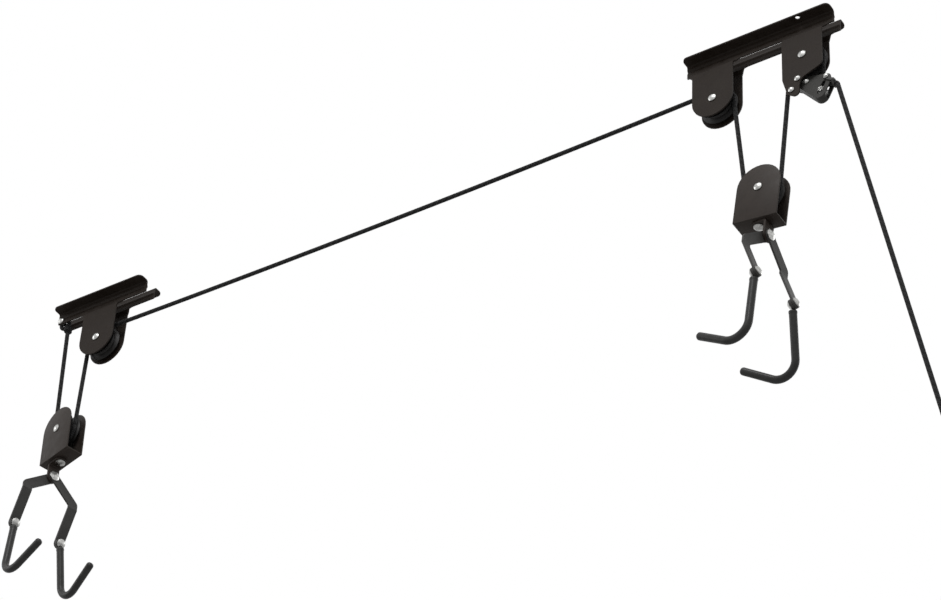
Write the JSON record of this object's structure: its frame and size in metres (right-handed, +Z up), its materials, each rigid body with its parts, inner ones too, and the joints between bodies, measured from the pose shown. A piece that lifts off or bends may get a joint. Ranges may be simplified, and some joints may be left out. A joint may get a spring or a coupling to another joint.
{
  "type": "bike ceiling hoist",
  "caption": "Pulley hoist that lifts a bicycle to the ceiling: channel brackets with rope wheels, a rope lock, hanging blocks and sleeved hooks on swivelling scissor arms.",
  "frame": {"origin": "on the ceiling plane, at the middle of the bracket that carries the rope lock", "axes": "+X along the rope's run, from the plain bracket towards the bracket with the rope lock; +Z up into the ceiling; +Y across both brackets, away from the picture's viewer"},
  "size_m": [1.3576, 0.116, 0.7225],
  "materials": {
    "black_steel": "satin black powder coat",
    "zinc_steel": "bright zinc",
    "nylon": "moulded black nylon",
    "vinyl": "soft dark grey vinyl sleeve",
    "rope": "braided black cord"
  },
  "bodies": {
    "brackets": {"front_plate_near": "black_steel", "front_plate_far": "black_steel", "rear_plate_near": "black_steel", "rear_plate_far": "black_steel", "inner_axle": "zinc_steel", "outer_axle": "zinc_steel", "rear_axle": "zinc_steel", "anchor_rivet": "zinc_steel", "lock_housing": "black_steel", "lock_rivet_1": "zinc_steel", "lock_rivet_2": "zinc_steel", "tail_rivet": "zinc_steel", "anvil_pin": "zinc_steel", "lock_eyelet": "zinc_steel", "rope_anchor_knot": "rope", "rope_run": "rope", "rope_haul": "rope", "rope_fall_1": "rope", "rope_fall_2": "rope", "rope_fall_3": "rope", "rope_fall_4": "rope", "rope_free": "rope", "rope_end_knot": "rope"},
    "inner_sheave": {"inner_sheave": "nylon"},
    "outer_sheave": {"outer_sheave": "nylon"},
    "rear_sheave": {"rear_sheave": "nylon"},
    "anvil_roller": {"anvil_roller": "zinc_steel"},
    "lock_roller": {"lock_roller": "zinc_steel"},
    "front_bight": {"rope_bight_front": "rope"},
    "front_block": {"front_block_frame": "black_steel", "front_block_axle": "zinc_steel", "front_swivel_rivet": "zinc_steel"},
    "front_block_sheave": {"front_block_sheave": "nylon"},
    "front_swivel": {"front_swivel_bracket": "black_steel", "front_arm_pivot": "zinc_steel"},
    "front_near_arm": {"front_near_arm": "black_steel", "front_near_hook_rivet": "zinc_steel"},
    "front_near_hook": {"front_near_hook_rod": "black_steel", "front_near_hook_sleeve": "vinyl"},
    "front_far_arm": {"front_far_arm": "black_steel", "front_far_hook_rivet": "zinc_steel"},
    "front_far_hook": {"front_far_hook_rod": "black_steel", "front_far_hook_sleeve": "vinyl"},
    "rear_bight": {"rope_bight_rear": "rope"},
    "rear_block": {"rear_block_frame": "black_steel", "rear_block_axle": "zinc_steel", "rear_swivel_rivet": "zinc_steel"},
    "rear_block_sheave": {"rear_block_sheave": "nylon"},
    "rear_swivel": {"rear_swivel_bracket": "black_steel", "rear_arm_pivot": "zinc_steel"},
    "rear_near_arm": {"rear_near_arm": "black_steel", "rear_near_hook_rivet": "zinc_steel"},
    "rear_near_hook": {"rear_near_hook_rod": "black_steel", "rear_near_hook_sleeve": "vinyl"},
    "rear_far_arm": {"rear_far_arm": "black_steel", "rear_far_hook_rivet": "zinc_steel"},
    "rear_far_hook": {"rear_far_hook_rod": "black_steel", "rear_far_hook_sleeve": "vinyl"}
  },
  "joints": [
    {"name": "inner_sheave_spin", "type": "hinge", "parent": "brackets", "child": "inner_sheave", "pos_m": [-0.066, 0, -0.075], "axis": [0, 1, 0], "continuous": true},
    {"name": "outer_sheave_spin", "type": "hinge", "parent": "brackets", "child": "outer_sheave", "pos_m": [0.0604, 0, -0.06], "axis": [0, 1, 0], "continuous": true},
    {"name": "rear_sheave_spin", "type": "hinge", "parent": "brackets", "child": "rear_sheave", "pos_m": [-1.0456, 0, -0.075], "axis": [0, 1, 0], "continuous": true},
    {"name": "anvil_roller_spin", "type": "hinge", "parent": "brackets", "child": "anvil_roller", "pos_m": [0.0895, 0, -0.1065], "axis": [0, 1, 0], "continuous": true},
    {"name": "lock_roller_slide", "type": "slide", "parent": "brackets", "child": "lock_roller", "axis": [0.437, 0, 0.8995], "range_m": [-0.0051, 0]},
    {"name": "front_lift", "type": "slide", "parent": "brackets", "child": "front_bight", "axis": [0, 0, 1], "range_m": [-1.8, 0.07], "deforming": ["rope_fall_3", "rope_fall_4"]},
    {"name": "front_block_tilt", "type": "hinge", "parent": "front_bight", "child": "front_block", "pos_m": [-0.0035, 0, -0.252], "axis": [0, 1, 0], "range_deg": [-30, 30]},
    {"name": "front_block_sheave_spin", "type": "hinge", "parent": "front_bight", "child": "front_block_sheave", "pos_m": [-0.0035, 0, -0.252], "axis": [0, 1, 0], "continuous": true},
    {"name": "front_swivel_turn", "type": "hinge", "parent": "front_block", "child": "front_swivel", "pos_m": [-0.0035, 0, -0.252], "axis": [0.1219, 0, 0.9925], "continuous": true},
    {"name": "front_near_arm_swing", "type": "hinge", "parent": "front_swivel", "child": "front_near_arm", "pos_m": [-0.00121, -0.00092, -0.32331], "axis": [0.9891, -0.0837, -0.1214], "range_deg": [-25, 22]},
    {"name": "front_near_hook_swing", "type": "hinge", "parent": "front_near_arm", "child": "front_near_hook", "pos_m": [0.00333, -0.03827, -0.40987], "axis": [0.9521, -0.0763, 0.2961], "range_deg": [-35, 35]},
    {"name": "front_far_arm_swing", "type": "hinge", "parent": "front_swivel", "child": "front_far_arm", "pos_m": [0.00512, -0.00146, -0.32409], "axis": [0.9891, -0.0837, -0.1214], "range_deg": [-22, 25]},
    {"name": "front_far_hook_swing", "type": "hinge", "parent": "front_far_arm", "child": "front_far_hook", "pos_m": [0.01564, 0.03286, -0.41139], "axis": [0.9521, -0.0763, 0.2961], "range_deg": [-35, 35]},
    {"name": "rear_lift", "type": "slide", "parent": "brackets", "child": "rear_bight", "axis": [0, 0, 1], "range_m": [-1.8, 0.07], "deforming": ["rope_fall_1", "rope_fall_2"]},
    {"name": "rear_block_tilt", "type": "hinge", "parent": "rear_bight", "child": "rear_block", "pos_m": [-1.0875, 0, -0.219], "axis": [0.2351, 0.972, 0], "range_deg": [-30, 30]},
    {"name": "rear_block_sheave_spin", "type": "hinge", "parent": "rear_bight", "child": "rear_block_sheave", "pos_m": [-1.0875, 0, -0.219], "axis": [0.2351, 0.972, 0], "continuous": true},
    {"name": "rear_swivel_turn", "type": "hinge", "parent": "rear_block", "child": "rear_swivel", "pos_m": [-1.0875, 0, -0.219], "axis": [-0.0509, 0.0123, 0.9986], "continuous": true},
    {"name": "rear_near_arm_swing", "type": "hinge", "parent": "rear_swivel", "child": "rear_near_arm", "pos_m": [-1.1008, 0.00322, -0.29031], "axis": [-0.9706, 0.2348, -0.0523], "range_deg": [-22, 25]},
    {"name": "rear_near_hook_swing", "type": "hinge", "parent": "rear_near_arm", "child": "rear_near_hook", "pos_m": [-1.12252, -0.02853, -0.37651], "axis": [-0.9062, 0.2192, 0.3616], "range_deg": [-35, 35]},
    {"name": "rear_far_arm_swing", "type": "hinge", "parent": "rear_swivel", "child": "rear_far_arm", "pos_m": [-1.09459, 0.00171, -0.28998], "axis": [-0.9706, 0.2348, -0.0523], "range_deg": [-25, 22]},
    {"name": "rear_far_hook_swing", "type": "hinge", "parent": "rear_far_arm", "child": "rear_far_hook", "pos_m": [-1.09939, 0.03988, -0.37618], "axis": [-0.9062, 0.2192, 0.3616], "range_deg": [-35, 35]}
  ],
  "couplings": [
    {"joint": "rear_lift", "follows": "front_lift", "ratio": 1},
    {"joint": "rear_block_sheave_spin", "follows": "front_lift", "rad_per_m": -43.478},
    {"joint": "rear_sheave_spin", "follows": "front_lift", "rad_per_m": 86.957},
    {"joint": "inner_sheave_spin", "follows": "front_lift", "rad_per_m": 86.957},
    {"joint": "front_block_sheave_spin", "follows": "front_lift", "rad_per_m": -130.43},
    {"joint": "outer_sheave_spin", "follows": "front_lift", "rad_per_m": 173.91},
    {"joint": "anvil_roller_spin", "follows": "front_lift", "rad_per_m": -512.82}
  ]
}
